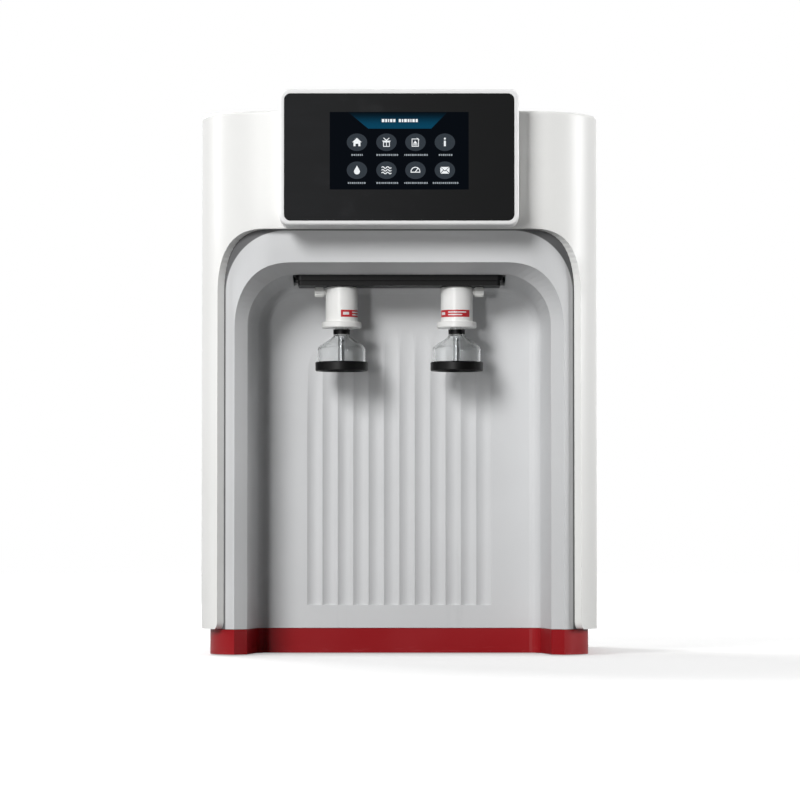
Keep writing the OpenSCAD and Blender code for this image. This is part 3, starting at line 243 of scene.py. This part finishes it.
alcove = {
    "colour": "#dcddde", "worn": "#d1d2d3", "seamShadow": "#3b3b3d",
    "rough": 0.45, "grain": 1300.0, "depth": 0.025,
    "archHalf": 0.1754, "archTop": 0.426, "archRound": 0.062, "seam": (0.0007, 0.0019),
    "drift": (6.0, 4.0, 0.36, 0.68), "drips": (26.0, 4.0, 0.5, 0.66), "dripStretch": (6.0, 1.0, 0.35),
    "dripX": 0.058, "dripWidth": 0.02, "dripTop": 0.28, "dripFade": 0.08, "wallDepths": (0.09, 0.1),
    "driftTone": 0.5, "dripTone": 0.35, "seamShadowTone": 0.85, "dripBump": 0.4,
    "driftRough": 0.08, "dripRough": -0.16, "grainRough": 0.05, "seamRough": 0.2,
}
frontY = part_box("outer_shell")[0][1]


def archEdge(flow, at):  # how far a point lies inside the arch's outer edge
    inner, start = alcove["archHalf"] - alcove["archRound"], alcove["archTop"] - alcove["archRound"]
    across = flow.math("MAXIMUM", abs(at.x) - inner, 0.0)
    up = flow.math("MAXIMUM", at.z - start, 0.0)
    return alcove["archRound"] - flow.math("SQRT", across * across + up * up)


def alcoveFinish(flow, at):  # satin moulding: painted shadow darkening the seam by the shell, dried drips below the bells
    # painted shadow: the face is darkened along the shell's edge, standing in for the shade that falls into
    # the seam
    seam = 1 - archEdge(flow, at).rise(*alcove["seam"])
    drift = at.patches(*alcove["drift"])
    fine = at.grain(alcove["grain"])
    lane = 1 - abs(abs(at.x) - alcove["dripX"]).rise(0.0, alcove["dripWidth"])
    backWall = at.y.rise(*[frontY + depth for depth in alcove["wallDepths"]])
    below = 1 - at.z.rise(alcove["dripTop"] - alcove["dripFade"], alcove["dripTop"])
    drips = at.patches(*alcove["drips"], alcove["dripStretch"]) * lane * (backWall * below)
    wear = drift * alcove["driftTone"] + drips * alcove["dripTone"]
    surface = wear.tint(alcove["colour"], alcove["worn"])
    return {
        "Base Color": (seam * alcove["seamShadowTone"]).tint(surface, alcove["seamShadow"]),
        "Roughness": alcove["rough"] + drift * alcove["driftRough"] + drips * alcove["dripRough"]
        + fine * alcove["grainRough"] + seam * alcove["seamRough"],
        "Bump": (fine + drips * alcove["dripBump"], alcove["depth"]),
    }


plinthLook = {
    "colour": "#9a141b", "worn": "#ae3a3e", "rough": 0.3, "grain": 1000.0, "depth": 0.02,
    "drift": (8.0, 4.0, 0.35, 0.7), "scuffTop": 0.009,
    "scratch": (70.0, 5.0, 0.55, 0.7), "scratchStretch": (1.0, 1.0, 9.0),
    "driftTone": 0.2, "scuffTone": 0.75, "driftRough": 0.06, "scuffRough": 0.3, "scuffBump": 1.5,
}


def plinthFinish(flow, at):  # semi-gloss red, scuffed along its lower edge
    fine = at.grain(plinthLook["grain"])
    drift = at.patches(*plinthLook["drift"])
    scratch = at.patches(*plinthLook["scratch"], plinthLook["scratchStretch"])
    scuff = (1 - at.z.rise(0.0, plinthLook["scuffTop"])) * scratch
    wear = drift * plinthLook["driftTone"] + scuff * plinthLook["scuffTone"]
    return {
        "Base Color": wear.tint(plinthLook["colour"], plinthLook["worn"]),
        "Roughness": plinthLook["rough"] + drift * plinthLook["driftRough"]
        + scuff * plinthLook["scuffRough"],
        "Bump": (fine + scuff * plinthLook["scuffBump"], plinthLook["depth"]),
    }


glassLook = {
    "colour": "#131416", "worn": "#1a1b1e", "rightShade": "#060708", "rightShadeHalf": 0.11,
    "rough": 0.1, "depth": 0.002,
    "touch": (38.0, 4.0, 0.52, 0.72), "touchHalf": 0.075, "touchFade": 0.02,
    "streak": (12.0, 3.0, 0.4, 0.7), "streakStretch": (1.0, 1.0, 5.0),
    "touchTone": 0.4, "streakTone": 0.3, "touchRough": 0.1, "streakRough": 0.05,
}


def glassFinish(flow, at):  # black printed glass with painted shade that darkens it to the right, where the reflected light from the left fades, finger marks over the screen
    half = glassLook["touchHalf"]
    touch = at.patches(*glassLook["touch"]) * at.x.band(-half, half, glassLook["touchFade"])
    streak = at.patches(*glassLook["streak"], glassLook["streakStretch"])
    wear = touch * glassLook["touchTone"] + streak * glassLook["streakTone"]
    marked = wear.tint(glassLook["colour"], glassLook["worn"])
    # painted shade: the base colour darkens to the right, standing in for a reflection that is brighter on
    # the left
    rightShading = at.x.rise(-glassLook["rightShadeHalf"], glassLook["rightShadeHalf"])
    return {
        "Base Color": rightShading.tint(marked, glassLook["rightShade"]),
        "Roughness": glassLook["rough"] + touch * glassLook["touchRough"]
        + streak * glassLook["streakRough"],
        "Bump": (touch, glassLook["depth"]),
    }


bellLook = {
    "lines": 60.0, "lineDetail": 3.0, "stretch": (1.0, 1.0, 0.3), "levels": (0.5, 0.8),
    "rough": 0.02, "lineRough": 0.05, "depth": 0.004,
}


def bellFinish(flow, at):  # clear moulded plastic with faint flow lines
    lines = at.noise(bellLook["lines"], bellLook["lineDetail"], bellLook["stretch"])
    return {
        "Roughness": bellLook["rough"] + lines.rise(*bellLook["levels"]) * bellLook["lineRough"],
        "Bump": (lines, bellLook["depth"]),
    }


finishes = {
    "white_paint": makeFinish("whiteCoat", coated("#f3f3f1", "#e8e8e5"), Specular_IOR_Level=0.42),
    "white_panel": makeFinish("panelCoat", coated("#ededeb", "#dededa", rough=0.45), Specular_IOR_Level=0.4),
    "grey_moulding": makeFinish("greyMoulding", alcoveFinish, Specular_IOR_Level=0.4),
    "plinth_red": makeFinish("plinthRed", plinthFinish, Specular_IOR_Level=0.16),
    "zinc_sheet": makeFinish("zincSheet", zincFinish, Metallic=0.9),
    "foot_rubber": makeFinish("footRubber", moulded(
        "#2a2a2d", "#3b3b3d", rough=0.7, grain=600.0, depth=0.05)),
    "screw_steel": makeFinish("stainless", metal("#c8cacb", "#a7a9aa", rough=0.24), Metallic=1.0),
    "outlet_steel": makeFinish("outletSteel", metal(
        "#c4c6c8", "#aeb0b2", rough=0.05, depth=0.001), Metallic=1.0),
    "display_plastic": makeFinish("displayWhite", moulded(
        "#f9f9f9", "#f0f0ee", rough=0.26, grain=1400.0, depth=0.008, spread=0.05, dust=0.0)),
    "screen_glass": makeFinish("screenGlass", glassFinish, Specular_IOR_Level=0.33),
    "panel_black": makeFinish("panelBlack", moulded("#0e1116", "#16191e", rough=0.3)),
    "board_green": makeFinish("boardLacquer", boardFinish),
    "head_black": makeFinish("headBlack", moulded(
        "#080809", "#111112", rough=0.34, grain=1200.0, depth=0.015, spread=0.06, dust=0.0),
        Specular_IOR_Level=0.25),
    "capsule_white": makeFinish("capsuleWhite", moulded(
        "#f9f9f7", "#eeeeea", rough=0.24, grain=1500.0, depth=0.006, spread=0.05, dust=0.0)),
    "bell_clear": makeFinish("bellClear", bellFinish,
                             Base_Color="#fdfefe", Transmission_Weight=1.0, IOR=1.4),
    "ring_black": makeFinish("ringBlack", moulded(
        "#070708", "#101011", rough=0.32, grain=900.0, depth=0.012, spread=0.06, dust=0.0),
        Specular_IOR_Level=0.2),
    "fitting_grey": makeFinish("fittingGrey", moulded("#6f7275", "#85888a", rough=0.45)),
    "collet_blue": makeFinish("colletBlue", moulded("#1f56a4", "#3b6db2", rough=0.35)),
    "power_black": makeFinish("powerBlack", moulded("#1b1b1d", "#2a2a2c", rough=0.42)),
    "blade_metal": makeFinish("bladePlate", metal("#cfcfc9", "#a9a9a3", rough=0.28), Metallic=1.0),
    "rocker_red": makeFinish("rockerRed", moulded(
        "#b01c22", "#bf3a3e", rough=0.25, grain=1400.0, depth=0.006)),
    "rack_grey": makeFinish("rackGrey", moulded("#9ea2a5", "#86898c", rough=0.5)),
    "cartridge_white": makeFinish("cartridgeWhite", moulded("#ebebe8", "#dcdcd7", rough=0.33)),
    "cartridge_dark": makeFinish("cartridgeDark", moulded("#3a3e42", "#4c5054", rough=0.36)),
    "cartridge_blue": makeFinish("cartridgeBlue", moulded("#2f5f9a", "#4571a6", rough=0.33)),
    "pump_plastic": makeFinish("pumpBlack", moulded("#1d1d1f", "#2d2d2f", rough=0.45)),
    "motor_paint": makeFinish("motorPaint", coated("#6b7278", "#7d8388", rough=0.4)),
    "supply_metal": makeFinish("supplyCase", metal(
        "#b6b9bb", "#989b9d", rough=0.38, stretch=(30.0, 1.0, 1.0)), Metallic=1.0),
    "sensor_ivory": makeFinish("sensorIvory", moulded("#dedac9", "#cdc9b6", rough=0.45)),
    "tube_clear": makeFinish("tubeNatural", moulded(
        "#dfe6ea", "#cbd3d8", rough=0.3, grain=900.0, depth=0.01)),
}


def dress(node, finish):
    data = nodes[node].data
    data.materials.clear()
    data.materials.append(finish)


for entry in frame["record"]["subparts"]:
    dress(entry["node"], finishes[entry["material_slot"]])
for side in ("left", "right"):
    dress("outlet_tube_" + side, finishes["outlet_steel"])
print("finishes: %d" % len(finishes))


def addPiece(name, mesh, finish, smooth=False):
    data = bpy.data.meshes.new(name)
    mesh.to_mesh(data)
    mesh.free()
    for face in data.polygons:
        face.use_smooth = smooth
    data.materials.append(finish)
    piece = bpy.data.objects.new(name, data)
    bpy.context.scene.collection.objects.link(piece)
    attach(piece, "frame")


# Outlines as (x, z) points, those of the screen in mm.

def block(x, z, wide, high):
    left, right, low, top = x - wide / 2, x + wide / 2, z - high / 2, z + high / 2
    return [(left, low), (right, low), (right, top), (left, top)]


def frameOf(x, z, wide, high, line):  # a hollow rectangle from four bars
    side, end = (wide - line) / 2, (high - line) / 2
    return [block(x, z - end, wide, line), block(x, z + end, wide, line),
            block(x - side, z, line, high - 2 * line), block(x + side, z, line, high - 2 * line)]


def oval(x, z, halfWide, halfHigh, steps=40):
    turns = [2 * math.pi * i / steps for i in range(steps)]
    return [(x + halfWide * math.cos(a), z + halfHigh * math.sin(a)) for a in turns]


def arc(z, radius, start, end, steps):  # part of a circle about (0, z), between two angles in degrees
    turns = [math.radians(start + (end - start) * i / steps) for i in range(steps + 1)]
    return [(radius * math.cos(a), z + radius * math.sin(a)) for a in turns]


def stroke(points, line):  # a line of even width through points
    bars = []
    for (x0, z0), (x1, z1) in zip(points, points[1:]):
        half = line / 2 / math.hypot(x1 - x0, z1 - z0)
        x, z = (z0 - z1) * half, (x1 - x0) * half
        bars.append([(x0 + x, z0 + z), (x0 - x, z0 - z), (x1 - x, z1 - z), (x1 + x, z1 + z)])
    return bars


# The screen's lit area, in mm from its middle, which sits above the middle of the glass by its lift.
screen = {
    "width": 137.5, "height": 77.0, "lift": 6.2, "layer": 0.02,
    "columns": (-41.8, -12.6, 16.1, 45.2), "rows": (8.4, -19.4), "discHalfWide": 10.1, "discHalfHigh": 8.7,
    "labels": (11.0, 20.0, 22.0, 12.0, 18.0, 20.0, 22.0, 24.0), "labelDrop": 12.6, "labelHigh": 1.7,
    "dashes": (1.5, 1.0, 1.8, 1.3, 0.8, 1.6), "dashGap": 0.65,
}
header = {
    "edge": 0.6, "drop": 16.0, "topLeft": -50.0, "topRight": 47.3, "lowLeft": -30.6, "lowRight": 31.7,
    "fade": (24.0, 38.0),
    "rows": ((-10.2, 14.0), (8.6, 18.0)), "rowDrop": 8.0, "rowHigh": 3.0, "rowScale": 1.4,
}
ink = {
    "strength": 1.0, "specular": 0.05, "rough": 0.12, "unlit": "#000000",
    "pixels": 1500.0, "pixelDetail": 1.0, "pixelTone": 0.3, "pixelGlow": 0.35, "pixelRough": 0.05,
}
glassLow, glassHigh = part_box("touch_glass")
midX, midZ = (glassLow[0] + glassHigh[0]) / 2, (glassLow[2] + glassHigh[2]) / 2 + screen["lift"] * mm


def inkFinish(name, colour, glow, upper=None):
    # a lit area with the fine grid of its pixels, whose glow may turn to another up the header
    def paint(flow, at):
        grid = at.noise(ink["pixels"], ink["pixelDetail"])
        lit = at.z.rise(*[midZ + z * mm for z in header["fade"]]).tint(glow, upper) if upper else glow
        return {
            "Base Color": (grid * ink["pixelTone"]).tint(colour, ink["unlit"]),
            "Emission Color": (grid * ink["pixelGlow"]).tint(lit, ink["unlit"]),
            "Roughness": ink["rough"] + grid * ink["pixelRough"],
        }
    return makeFinish(name, paint, Emission_Strength=ink["strength"], Specular_IOR_Level=ink["specular"])


def screenPiece(name, outlines, layer, finish):  # flat outlines in one layer on the glass, facing the user
    depth = glassLow[1] - layer * screen["layer"] * mm
    mesh = bmesh.new()
    for outline in outlines:
        mesh.faces.new([mesh.verts.new((midX + x * mm, depth, midZ + z * mm)) for x, z in outline])
    bmesh.ops.recalc_face_normals(mesh, faces=mesh.faces[:])
    for face in mesh.faces:
        if face.normal.y > 0:
            face.normal_flip()
    addPiece(name, mesh, finish)


def dashRow(x, z, wide, high, scale=1.0):  # a row of uneven dashes
    dashes, at, turn = [], x - wide / 2, int(wide)
    while at < x + wide / 2:
        length = screen["dashes"][turn % len(screen["dashes"])] * scale
        dashes.append(block(at + length / 2, z, length, high))
        at += length + screen["dashGap"] * scale
        turn += 1
    return dashes


headerTop = screen["height"] / 2 - header["edge"]


def headerBar():
    low = headerTop - header["drop"]
    return [(header["lowLeft"], low), (header["lowRight"], low),
            (header["topRight"], headerTop), (header["topLeft"], headerTop)]


def headerRows():
    z = headerTop - header["rowDrop"]
    return [dash for x, wide in header["rows"]
            for dash in dashRow(x, z, wide, header["rowHigh"], header["rowScale"])]


nightBlue = inkFinish("screenNight", "#010204", "#02060d")
headerBlue = inkFinish("screenHeader", "#01101a", "#05435e", upper="#01070c")
discGrey = inkFinish("screenDisc", "#121518", "#353c43")
inkWhite = inkFinish("screenWhite", "#8a8d90", "#eef2f4")
labelGrey = inkFinish("screenLabel", "#4a4f54", "#9aa2a8")

discs = [(x, z) for z in screen["rows"] for x in screen["columns"]]
screenPiece("screenField", [block(0, 0, screen["width"], screen["height"])], 1, nightBlue)
screenPiece("screenHeaderBar", [headerBar()], 2, headerBlue)
screenPiece("screenTitle", headerRows(), 3, inkWhite)
screenPiece("screenDiscs", [oval(x, z, screen["discHalfWide"], screen["discHalfHigh"]) for x, z in discs],
            2, discGrey)
screenPiece("screenLabels", [dash for (x, z), wide in zip(discs, screen["labels"])
                             for dash in dashRow(x, z - screen["labelDrop"], wide, screen["labelHigh"])],
            2, labelGrey)

# The signs on the discs, each drawn about its disc's middle.
signLines = {"fine": 0.7, "plain": 0.8, "bold": 0.9}
waves = {"half": 4.8, "steps": 16, "turn": 0.785, "swell": 0.9, "rows": (-2.7, 0.0, 2.7)}


def houseSign():
    roof = [(-4.6, 0), (4.6, 0), (0, 4.4)]
    return [roof, block(-2.4, -1.9, 2.0, 4.0), block(2.4, -1.9, 2.0, 4.0), block(0, -0.7, 3.2, 1.6)]


def boxSign():
    crate = frameOf(0, -2.0, 6.6, 5.0, signLines["fine"]) + [block(0, -2.0, signLines["fine"], 3.6)]
    bow = stroke([(-2.8, 4.2), (0, 1.8), (2.8, 4.2)], signLines["plain"])
    return crate + [block(0, 1.1, 7.8, 1.0)] + bow


def pageSign():
    sheet = frameOf(-0.2, -0.4, 7.0, 8.0, signLines["fine"])
    corner = stroke([(1.4, 4.2), (3.6, 2.0)], signLines["plain"])
    lines = [block(-0.2, -2.6, 4.4, signLines["plain"]), [(-2.4, -1.4), (2.0, -1.4), (-0.2, 1.6)]]
    return sheet + corner + lines


def infoSign():
    return [oval(0, 3.6, 1.0, 1.0, steps=20), block(0, -1.2, 1.9, 5.4)]


def dropSign():
    return [arc(-1.2, 2.9, -215, 35, 18) + [(0, 4.6)]]


def waveSign():
    wave = [(waves["half"] * (2 * i / waves["steps"] - 1), waves["swell"] * math.sin(waves["turn"] * i))
            for i in range(waves["steps"] + 1)]
    return [bar for row in waves["rows"]
            for bar in stroke([(x, z + row) for x, z in wave], signLines["bold"])]


def dialSign():
    rim = stroke(arc(-1.4, 4.4, 0, 180, 16), signLines["bold"])
    needle = stroke([(0, -1.4), (2.4, 1.8)], signLines["bold"])
    return rim + needle + [block(0, -1.9, 9.6, signLines["bold"])]


def letterSign():  # a closed envelope, its folds left dark
    return [[(-4.5, 2.8), (-4.5, -2.6), (-1.5, 0.3)],
            [(4.5, -2.6), (4.5, 2.8), (1.5, 0.3)],
            [(4.2, 3.3), (0, -0.3), (-4.2, 3.3)],
            [(-4.2, -3.3), (4.2, -3.3), (1.1, -0.3), (0, -1.2), (-1.1, -0.3)]]


signs = (houseSign, boxSign, pageSign, infoSign, dropSign, waveSign, dialSign, letterSign)
screenPiece("screenSigns", [[(x + dx, z + dz) for dx, dz in outline]
                            for sign, (x, z) in zip(signs, discs) for outline in sign()], 3, inkWhite)
print("screen: %d signs" % len(signs))


# The bands on the filters: heights and lifts in mm, angles in degrees to the right of the front.
bandLook = {
    "low": 340.6, "high": 347.8, "filterRadius": 16.2, "lift": 0.05, "markLift": 0.08, "step": 4,
    "starts": {"left": -2, "right": -77}, "arc": 128,
    "marks": ((8, 30, 2.2, 5.0), (44, 112, 4.3, 5.5), (44, 96, 1.7, 2.9)),
}


def bandFinish(name, colour, worn):
    return makeFinish(name, moulded(
        colour, worn, rough=0.3, grain=1300.0, depth=0.004, spread=0.05, dust=0.0))


def wrapped(name, side, lift, patches, finish):
    # patches are two angles from the band's start and two heights from its lower edge
    ringLow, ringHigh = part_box("neck_ring_" + side)
    centreX, centreY = (ringLow[0] + ringHigh[0]) / 2, (ringLow[1] + ringHigh[1]) / 2
    radius = (bandLook["filterRadius"] + lift) * mm
    mesh = bmesh.new()
    for start, end, low, high in patches:
        steps = int((end - start) / bandLook["step"])
        edges = []
        for i in range(steps + 1):
            a = math.radians(bandLook["starts"][side] + start + (end - start) * i / steps)
            x, y = centreX + radius * math.sin(a), centreY - radius * math.cos(a)
            edges.append([mesh.verts.new((x, y, (bandLook["low"] + z) * mm)) for z in (low, high)])
        for (lowA, highA), (lowB, highB) in zip(edges, edges[1:]):
            mesh.faces.new((lowA, lowB, highB, highA))
    addPiece(name, mesh, finish, smooth=True)


bandRed = bandFinish("bandRed", "#c4242b", "#cf4146")
bandWhite = bandFinish("bandWhite", "#f2ecec", "#e6dede")
bandField = (0, bandLook["arc"], 0.0, bandLook["high"] - bandLook["low"])
for side in bandLook["starts"]:
    wrapped("bandField_" + side, side, bandLook["lift"], [bandField], bandRed)
    wrapped("bandMarks_" + side, side, bandLook["markLift"], bandLook["marks"], bandWhite)
print("bands: %d" % len(bandLook["starts"]))


# The mirrored levels are what gloss and clear parts see to the left, to the right and behind, and the
# turns are the stretches over which one passes into the next.
studio = {
    "lamps": {  # place, aim, size in metres, watts
        "key": ((-2.27, -4.97, 2.8), (4.0, -0.1, 0.25), 2.2, 270.0),
        "low": ((-1.5, -4.8, 0.25), (0.3, -0.1, 0.3), 0.5, 28.0),
        "above": ((0.3, -0.1, 3.2), (0.0, 0.1, 0.4), 1.8, 12.0),
        "right": ((2.6, -0.03, 0.8), (0.0, -0.1, 0.3), 1.1, 46.0),
        "left": ((-2.6, 0.3, 0.9), (0.0, 0.0, 0.3), 0.7, 20.0),
        "rear": ((-1.2, 2.8, 1.9), (0.0, 0.2, 0.3), 1.4, 90.0),
    },
    "ambient": 0.015, "background": 1.0,
    "mirroredLeft": 1.0, "mirroredRight": 0.08, "turnX": (-0.25, 0.25),
    "mirroredBehind": 1.0, "turnY": (-0.1, 0.4),
}

for name, (place, aim, size, watts) in studio["lamps"].items():
    lamp = bpy.data.lights.new(name, "AREA")
    lamp.shape = "DISK"
    lamp.size = size
    lamp.energy = watts
    holder = bpy.data.objects.new(name, lamp)
    holder.location = place
    holder.rotation_euler = (Vector(aim) - Vector(place)).to_track_quat("-Z", "Y").to_euler()
    bpy.context.scene.collection.objects.link(holder)


def skyLevel(sky):  # white for the camera, a dim room for plain light, and a studio for gloss and clear parts
    seen = sky.node("LightPath", out="Is Camera Ray")
    bounced = sky.math("MAXIMUM", sky.node("LightPath", out="Is Glossy Ray"),
                       sky.node("LightPath", out="Is Transmission Ray"))
    way = sky.node("TexCoord", out="Generated")
    wayX, wayY = [sky.node("SeparateXYZ", values={0: way}, out=i) for i in range(2)]
    left, right, behind = studio["mirroredLeft"], studio["mirroredRight"], studio["mirroredBehind"]
    ahead = left + wayX.rise(*studio["turnX"]) * (right - left)
    mirrored = ahead + wayY.rise(*studio["turnY"]) * (behind - ahead)
    ambient = studio["ambient"]
    return ambient + seen * (studio["background"] - ambient) + (1 - seen) * bounced * (mirrored - ambient)


world = bpy.data.worlds.new("studio")
world.use_nodes = True
bpy.context.scene.world = world
background = world.node_tree.nodes["Background"]
background.inputs["Color"].default_value = rgba("#ffffff")
world.node_tree.links.new(skyLevel(Flow(world.node_tree)).socket, background.inputs["Strength"])


floorLook = {
    "reach": 14.0, "pale": "#c9c9c9", "paleWorn": "#c4c4c4", "cloud": (3.0, 3.0, 0.3, 0.7),
    "bounce": "#6a6a6a", "glow": 0.42, "away": (0.3, 4.0), "dark": "#000000", "lit": "#ffffff",
    "rough": 0.8, "specular": 0.1, "strength": 1.0,
}


def floorFinish(flow, at):
    # glows for the camera and through clear parts alone, and throws less light back up than it shows
    direct = flow.node("LightPath", out="Is Camera Ray")
    through = flow.math("MAXIMUM", direct, flow.node("LightPath", out="Is Transmission Ray"))
    away = (at.x * at.x + at.y * at.y).rise(*floorLook["away"])  # by the squared distance
    pale = at.patches(*floorLook["cloud"]).tint(floorLook["pale"], floorLook["paleWorn"])
    return {
        "Base Color": direct.tint(floorLook["bounce"], pale),
        "Emission Color": (through * (floorLook["glow"] + away)).tint(floorLook["dark"], floorLook["lit"]),
    }


reach = floorLook["reach"]
mesh = bmesh.new()
mesh.faces.new([mesh.verts.new((x, y, 0.0)) for x, y in block(0, 0, 2 * reach, 2 * reach)])
floorData = bpy.data.meshes.new("floor")
mesh.to_mesh(floorData)
mesh.free()
floorData.materials.append(makeFinish(
    "paleFloor", floorFinish, Roughness=floorLook["rough"], Specular_IOR_Level=floorLook["specular"],
    Emission_Strength=floorLook["strength"]))
floor = bpy.data.objects.new("floor", floorData)
bpy.context.scene.collection.objects.link(floor)


view = {"place": (0.0008, -4.2985, 0.105), "pitch": 2.1, "lens": 184.8, "sensor": 36.0, "farthest": 100.0}
cameraData = bpy.data.cameras.new("camera")
cameraData.lens = view["lens"]
cameraData.sensor_width = view["sensor"]
cameraData.clip_end = view["farthest"]
camera = bpy.data.objects.new("camera", cameraData)
camera.location = view["place"]
camera.rotation_euler = (math.radians(90 + view["pitch"]), 0.0, 0.0)
bpy.context.scene.collection.objects.link(camera)
bpy.context.scene.camera = camera
bpy.context.scene.view_settings.view_transform = "Standard"
print("studio ready")
